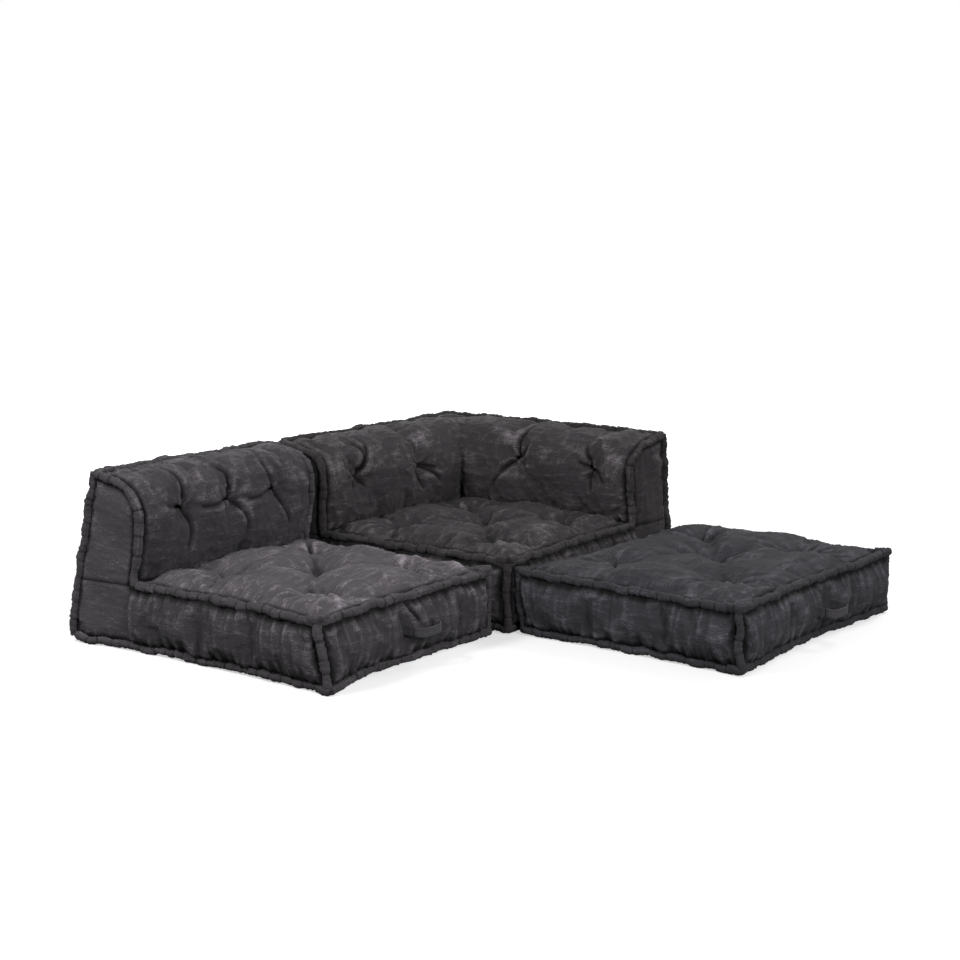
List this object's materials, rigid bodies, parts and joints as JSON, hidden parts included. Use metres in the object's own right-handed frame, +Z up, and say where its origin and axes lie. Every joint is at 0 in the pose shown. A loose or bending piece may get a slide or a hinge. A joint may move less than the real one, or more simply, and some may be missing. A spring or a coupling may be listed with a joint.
{
  "type": "corner sofa",
  "caption": "Low modular corner sofa of tufted canvas floor cushions with rolled edges: a middle seat, a mitred corner seat and a loose pouf, with swinging strap handles.",
  "frame": {"origin": "on the floor under the centre of the corner module", "axes": "+X from the corner module towards the pouf, +Y from the middle module towards the corner module's right back, +Z up"},
  "size_m": [1.7195, 1.662, 0.4832],
  "materials": {
    "middle_canvas": "stonewashed charcoal canvas",
    "corner_canvas": "stonewashed charcoal canvas, slightly browner",
    "pouf_canvas": "stonewashed charcoal canvas, slightly bluer and darker",
    "filling": "undyed cotton wadding",
    "twine": "waxed tufting twine",
    "washer": "pressed felt",
    "strap": "doubled canvas strap"
  },
  "bodies": {
    "corner": {"corner_back_buttons": "corner_canvas", "corner_base_panel": "corner_canvas", "corner_base_roll": "corner_canvas", "corner_base_washers": "washer", "corner_corner_rolls": "corner_canvas", "corner_left_back_core": "filling", "corner_left_back_end": "corner_canvas", "corner_left_backrest_front": "corner_canvas", "corner_left_backrest_rear": "corner_canvas", "corner_left_boxing": "corner_canvas", "corner_left_rear_boxing": "corner_canvas", "corner_right_back_core": "filling", "corner_right_back_end": "corner_canvas", "corner_right_backrest_front": "corner_canvas", "corner_right_backrest_rear": "corner_canvas", "corner_right_boxing": "corner_canvas", "corner_right_rear_boxing": "corner_canvas", "corner_seat_core": "filling", "corner_seat_top": "corner_canvas", "corner_seat_tufts": "corner_canvas", "corner_tuft_twine": "twine", "corner_upper_roll": "corner_canvas"},
    "middle": {"middle_back_buttons": "middle_canvas", "middle_back_core": "filling", "middle_backrest_front": "middle_canvas", "middle_backrest_rear": "middle_canvas", "middle_base_panel": "middle_canvas", "middle_base_roll": "middle_canvas", "middle_base_washers": "washer", "middle_corner_rolls": "middle_canvas", "middle_front_boxing": "middle_canvas", "middle_handle_tabs": "strap", "middle_left_back_end": "middle_canvas", "middle_left_boxing": "middle_canvas", "middle_rear_boxing": "middle_canvas", "middle_right_back_end": "middle_canvas", "middle_right_boxing": "middle_canvas", "middle_seat_core": "filling", "middle_seat_top": "middle_canvas", "middle_seat_tufts": "middle_canvas", "middle_tuft_twine": "twine", "middle_upper_roll": "middle_canvas"},
    "pouf": {"pouf_base_panel": "pouf_canvas", "pouf_base_roll": "pouf_canvas", "pouf_base_washers": "washer", "pouf_core": "filling", "pouf_corner_rolls": "pouf_canvas", "pouf_far_boxing": "pouf_canvas", "pouf_handle_tabs": "strap", "pouf_left_boxing": "pouf_canvas", "pouf_near_boxing": "pouf_canvas", "pouf_right_boxing": "pouf_canvas", "pouf_top": "pouf_canvas", "pouf_top_roll": "pouf_canvas", "pouf_tuft_twine": "twine", "pouf_tufts": "pouf_canvas"},
    "middle_handle": {"middle_handle_strap": "strap"},
    "pouf_handle": {"pouf_handle_strap": "strap"}
  },
  "joints": [
    {"name": "middle_slide", "type": "slide", "parent": "corner", "child": "middle", "axis": [0, -1, 0], "range_m": [0, 0.6]},
    {"name": "pouf_slide", "type": "slide", "parent": "corner", "child": "pouf", "axis": [1, 0, 0], "range_m": [0, 0.6]},
    {"name": "middle_handle_swing", "type": "hinge", "parent": "middle", "child": "middle_handle", "pos_m": [0.443, -0.811, 0.097], "axis": [0, 1, 0], "range_deg": [-80, 80]},
    {"name": "pouf_handle_swing", "type": "hinge", "parent": "pouf", "child": "pouf_handle", "pos_m": [1.20347, 0.01397, 0.093], "axis": [0.0349, 0.9994, 0], "range_deg": [-80, 80]}
  ]
}
